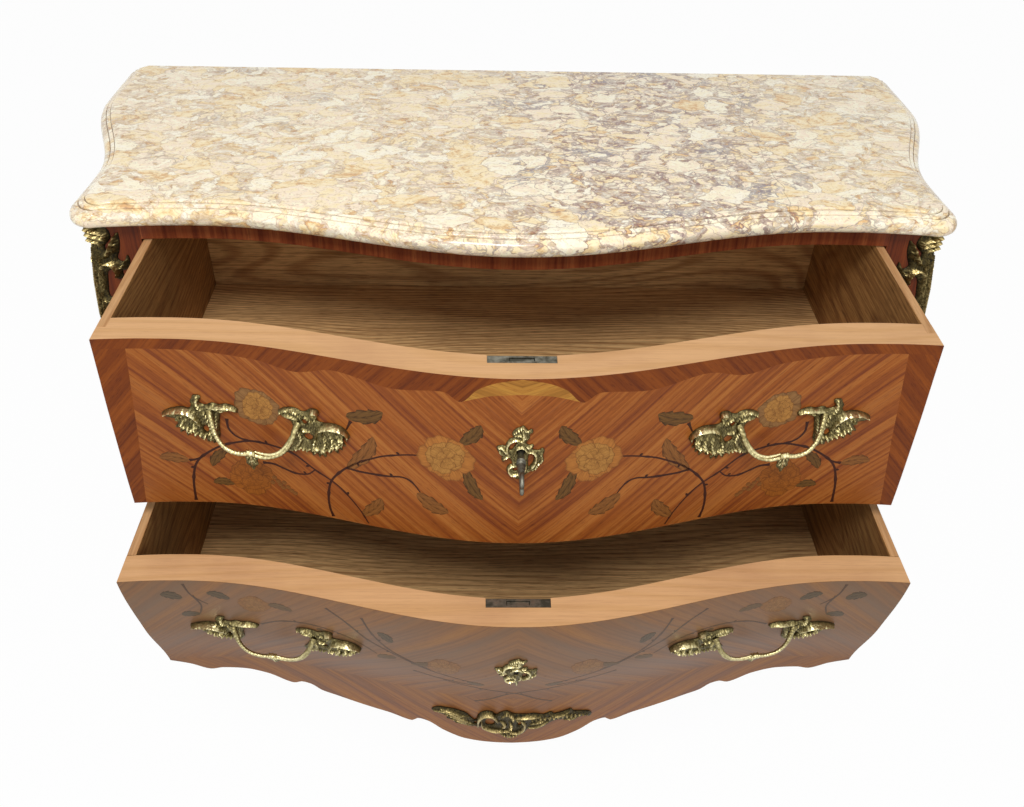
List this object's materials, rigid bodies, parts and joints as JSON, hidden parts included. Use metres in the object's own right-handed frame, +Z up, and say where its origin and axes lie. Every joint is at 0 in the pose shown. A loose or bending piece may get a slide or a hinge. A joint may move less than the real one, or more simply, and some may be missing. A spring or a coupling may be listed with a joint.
{
  "type": "commode chest",
  "caption": "Bombe serpentine commode chest with a marble top, marquetry drawers on wooden runners and gilt bronze mounts.",
  "frame": {"origin": "on the floor under the middle of the bounding box, with both drawers standing open as pictured", "axes": "+Z up, -Y out of the front, +X to the right as seen from the front"},
  "size_m": [1.1838, 0.8166, 0.87],
  "materials": {
    "veneer": "wax-polished crossbanded veneer with floral marquetry",
    "frieze_veneer": "wax-polished red-brown veneer",
    "oak": "unfinished aged oak",
    "marble": "polished breccia with violet-brown veins",
    "gilt_bronze": "worn gilt bronze with dark recesses",
    "nut_brass": "turned brass, dull",
    "lock_steel": "worn steel"
  },
  "bodies": {
    "carcass": {"divider_rail": "veneer", "right_front_post": "veneer", "left_front_post": "veneer", "right_back_post": "veneer", "left_back_post": "veneer", "right_side_panel": "veneer", "left_side_panel": "veneer", "frieze_rail": "frieze_veneer", "bottom_rail": "oak", "top_back_rail": "oak", "back_panel": "oak", "dust_panel": "oak", "bottom_panel": "oak", "right_upper_runner": "oak", "left_upper_runner": "oak", "right_upper_guide": "oak", "left_upper_guide": "oak", "right_lower_runner": "oak", "left_lower_runner": "oak", "right_lower_guide": "oak", "left_lower_guide": "oak", "right_kicker": "oak", "left_kicker": "oak", "marble_top": "marble", "right_corner_chute": "gilt_bronze", "left_corner_chute": "gilt_bronze", "right_sabot": "gilt_bronze", "left_sabot": "gilt_bronze"},
    "upper_drawer": {"upper_drawer_front": "veneer", "upper_drawer_right_side": "oak", "upper_drawer_left_side": "oak", "upper_drawer_bottom": "oak", "upper_drawer_back": "oak", "upper_escutcheon": "gilt_bronze", "upper_left_pull": "gilt_bronze", "upper_right_pull": "gilt_bronze", "upper_left_outer_nut": "nut_brass", "upper_left_inner_nut": "nut_brass", "upper_right_outer_nut": "nut_brass", "upper_right_inner_nut": "nut_brass", "upper_lock_case": "lock_steel"},
    "lower_drawer": {"lower_drawer_front": "veneer", "lower_drawer_right_side": "oak", "lower_drawer_left_side": "oak", "lower_drawer_bottom": "oak", "lower_drawer_back": "oak", "lower_escutcheon": "gilt_bronze", "lower_left_pull": "gilt_bronze", "lower_right_pull": "gilt_bronze", "lower_left_outer_nut": "nut_brass", "lower_left_inner_nut": "nut_brass", "lower_right_outer_nut": "nut_brass", "lower_right_inner_nut": "nut_brass", "lower_lock_case": "lock_steel", "apron_mount": "gilt_bronze"},
    "key": {"key": "lock_steel"},
    "upper_bolt": {"upper_lock_bolt": "lock_steel"},
    "lower_bolt": {"lower_lock_bolt": "lock_steel"}
  },
  "joints": [
    {"name": "upper_drawer_slide", "type": "slide", "parent": "carcass", "child": "upper_drawer", "axis": [0, -1, 0], "range_m": [-0.207, 0.125]},
    {"name": "lower_drawer_slide", "type": "slide", "parent": "carcass", "child": "lower_drawer", "axis": [0, -1, 0], "range_m": [-0.305, 0.045]},
    {"name": "key_turn", "type": "hinge", "parent": "upper_drawer", "child": "key", "pos_m": [0, -0.3, 0.724], "axis": [0, 1, 0], "range_deg": [0, 360]},
    {"name": "upper_bolt_slide", "type": "slide", "parent": "upper_drawer", "child": "upper_bolt", "axis": [0, 0, 1], "range_m": [0, 0.008]},
    {"name": "lower_bolt_slide", "type": "slide", "parent": "lower_drawer", "child": "lower_bolt", "axis": [0, 0, 1], "range_m": [0, 0.008]}
  ],
  "couplings": [
    {"joint": "key_turn", "follows": "upper_bolt_slide", "rad_per_m": 785}
  ]
}
